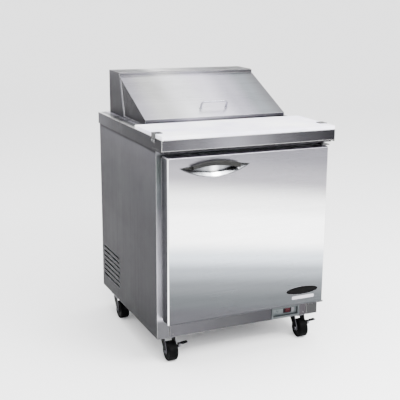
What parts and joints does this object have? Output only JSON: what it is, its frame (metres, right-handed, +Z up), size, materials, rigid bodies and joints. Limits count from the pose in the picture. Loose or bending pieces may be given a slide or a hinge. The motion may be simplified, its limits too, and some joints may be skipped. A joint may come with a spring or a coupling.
{
  "type": "sandwich prep table",
  "caption": "Refrigerated sandwich prep table: stainless cabinet on casters with a hinged door, a sloping hinged lid over recessed food pans and a full-width cutting board.",
  "frame": {"origin": "on the floor, at the centre of the whole table's plan", "axes": "+Z up, +X to the right of somebody who stands at the door, +Y from the door to the back"},
  "size_m": [0.7052, 0.757, 1.036],
  "materials": {
    "side_steel": "brushed",
    "plain_steel": "dull",
    "frame_steel": "brushed",
    "top_steel": "brushed",
    "hood_steel": "brushed",
    "door_steel": "brushed",
    "clip_steel": "satin",
    "pan_steel": "polished",
    "liner_metal": "mill",
    "coil_fins": "mill",
    "zinc_steel": "zinc plated",
    "wire_chrome": "polished",
    "dish_chrome": "polished",
    "bezel_plastic": "moulded",
    "black_plastic": "moulded",
    "key_plastic": "smooth",
    "grey_plastic": "moulded",
    "grip_plastic": "moulded",
    "pedal_plastic": "moulded",
    "board_plastic": "fine matte",
    "shelf_coating": "epoxy coated",
    "motor_paint": "semi-gloss",
    "caster_black": "semi-gloss",
    "copper": "drawn tube",
    "gasket_rubber": "soft",
    "wheel_rubber": "moulded",
    "foam": "rigid foam"
  },
  "bodies": {
    "cabinet": {"left_side_panel": "side_steel", "right_side_panel": "side_steel", "rear_panel": "plain_steel", "base_pan": "plain_steel", "front_frame": "frame_steel", "kick_panel": "frame_steel", "control_bezel": "bezel_plastic", "controller": "black_plastic", "insulation": "foam", "inner_liner": "liner_metal", "breaker_strips": "grey_plastic", "wire_shelf": "shelf_coating", "shelf_clips": "clip_steel", "evaporator_cover": "liner_metal", "evaporator_coil": "coil_fins", "fan_motors": "motor_paint", "condenser_coil": "coil_fins", "compressor": "motor_paint", "drain_pan": "black_plastic", "refrigerant_lines": "copper", "worktop": "top_steel", "pan_rail": "clip_steel", "pan_bars": "clip_steel", "food_pans": "pan_steel", "rear_hood_shell": "hood_steel", "rear_hood_liner": "liner_metal", "hinge_fixed_leaf": "clip_steel", "hinge_pins": "clip_steel", "board_clips": "clip_steel", "fasteners": "zinc_steel", "hinge_brackets": "clip_steel", "caster_plates": "zinc_steel"},
    "lid": {"lid_shell": "hood_steel", "lid_liner": "liner_metal", "lid_foam": "foam", "hinge_moving_leaf": "clip_steel", "lid_handle": "wire_chrome", "lid_seal": "gasket_rubber"},
    "door": {"door_skin": "door_steel", "door_foam": "foam", "door_liner": "liner_metal", "door_gasket": "gasket_rubber", "handle_dish": "dish_chrome", "handle_grip": "grip_plastic", "hinge_bushes": "grey_plastic"},
    "cutting_board": {"cutting_board": "board_plastic"},
    "evaporator_fan": {"evaporator_fan": "black_plastic"},
    "condenser_fan": {"condenser_fan": "black_plastic"},
    "set_key": {"set_key": "key_plastic"},
    "arrow_key": {"arrow_key": "key_plastic"},
    "front_left_fork": {"front_left_fork": "caster_black"},
    "front_left_wheel": {"front_left_wheel": "wheel_rubber"},
    "front_left_pedal": {"front_left_pedal": "pedal_plastic"},
    "front_right_fork": {"front_right_fork": "caster_black"},
    "front_right_wheel": {"front_right_wheel": "wheel_rubber"},
    "front_right_pedal": {"front_right_pedal": "pedal_plastic"},
    "rear_left_fork": {"rear_left_fork": "caster_black"},
    "rear_left_wheel": {"rear_left_wheel": "wheel_rubber"},
    "rear_right_fork": {"rear_right_fork": "caster_black"},
    "rear_right_wheel": {"rear_right_wheel": "wheel_rubber"}
  },
  "joints": [
    {"name": "lid_hinge", "type": "hinge", "parent": "cabinet", "child": "lid", "pos_m": [0, 0.2457, 1.0315], "axis": [-1, 0, 0], "range_deg": [0, 125]},
    {"name": "door_hinge", "type": "hinge", "parent": "cabinet", "child": "door", "pos_m": [0.316, -0.3365, 0.4865], "axis": [0, 0, 1], "range_deg": [0, 105]},
    {"name": "cutting_board_slide", "type": "slide", "parent": "cabinet", "child": "cutting_board", "axis": [0, -1, 0], "range_m": [0, 0.24]},
    {"name": "evaporator_fan_spin", "type": "hinge", "parent": "cabinet", "child": "evaporator_fan", "pos_m": [0, 0.257, 0.622], "axis": [0, 1, 0], "continuous": true},
    {"name": "condenser_fan_spin", "type": "hinge", "parent": "cabinet", "child": "condenser_fan", "pos_m": [-0.256, 0.2435, 0.194], "axis": [1, 0, 0], "continuous": true},
    {"name": "set_key_press", "type": "slide", "parent": "cabinet", "child": "set_key", "axis": [0, 1, 0], "range_m": [0, 0.0012], "stiffness_N_per_m": 600},
    {"name": "arrow_key_rock", "type": "hinge", "parent": "cabinet", "child": "arrow_key", "pos_m": [0.24, -0.2734, 0.1255], "axis": [1, 0, 0], "range_deg": [-3, 3], "stiffness_Nm_per_rad": 0.5},
    {"name": "front_left_swivel", "type": "hinge", "parent": "cabinet", "child": "front_left_fork", "pos_m": [-0.2825, -0.2395, 0.089], "axis": [0, 0, 1], "continuous": true},
    {"name": "front_left_roll", "type": "hinge", "parent": "front_left_fork", "child": "front_left_wheel", "pos_m": [-0.2825, -0.2675, 0.0375], "axis": [1, 0, 0], "continuous": true},
    {"name": "front_left_brake", "type": "hinge", "parent": "front_left_fork", "child": "front_left_pedal", "pos_m": [-0.2485, -0.2675, 0.058], "axis": [0, 1, 0], "range_deg": [0, 22]},
    {"name": "front_right_swivel", "type": "hinge", "parent": "cabinet", "child": "front_right_fork", "pos_m": [0.2825, -0.2395, 0.089], "axis": [0, 0, 1], "continuous": true},
    {"name": "front_right_roll", "type": "hinge", "parent": "front_right_fork", "child": "front_right_wheel", "pos_m": [0.2825, -0.2675, 0.0375], "axis": [1, 0, 0], "continuous": true},
    {"name": "front_right_brake", "type": "hinge", "parent": "front_right_fork", "child": "front_right_pedal", "pos_m": [0.3165, -0.2675, 0.058], "axis": [0, 1, 0], "range_deg": [0, 22]},
    {"name": "rear_left_swivel", "type": "hinge", "parent": "cabinet", "child": "rear_left_fork", "pos_m": [-0.313, 0.2395, 0.089], "axis": [0, 0, 1], "continuous": true},
    {"name": "rear_left_roll", "type": "hinge", "parent": "rear_left_fork", "child": "rear_left_wheel", "pos_m": [-0.313, 0.2115, 0.0375], "axis": [1, 0, 0], "continuous": true},
    {"name": "rear_right_swivel", "type": "hinge", "parent": "cabinet", "child": "rear_right_fork", "pos_m": [0.313, 0.2395, 0.089], "axis": [0, 0, 1], "continuous": true},
    {"name": "rear_right_roll", "type": "hinge", "parent": "rear_right_fork", "child": "rear_right_wheel", "pos_m": [0.313, 0.2115, 0.0375], "axis": [1, 0, 0], "continuous": true}
  ]
}
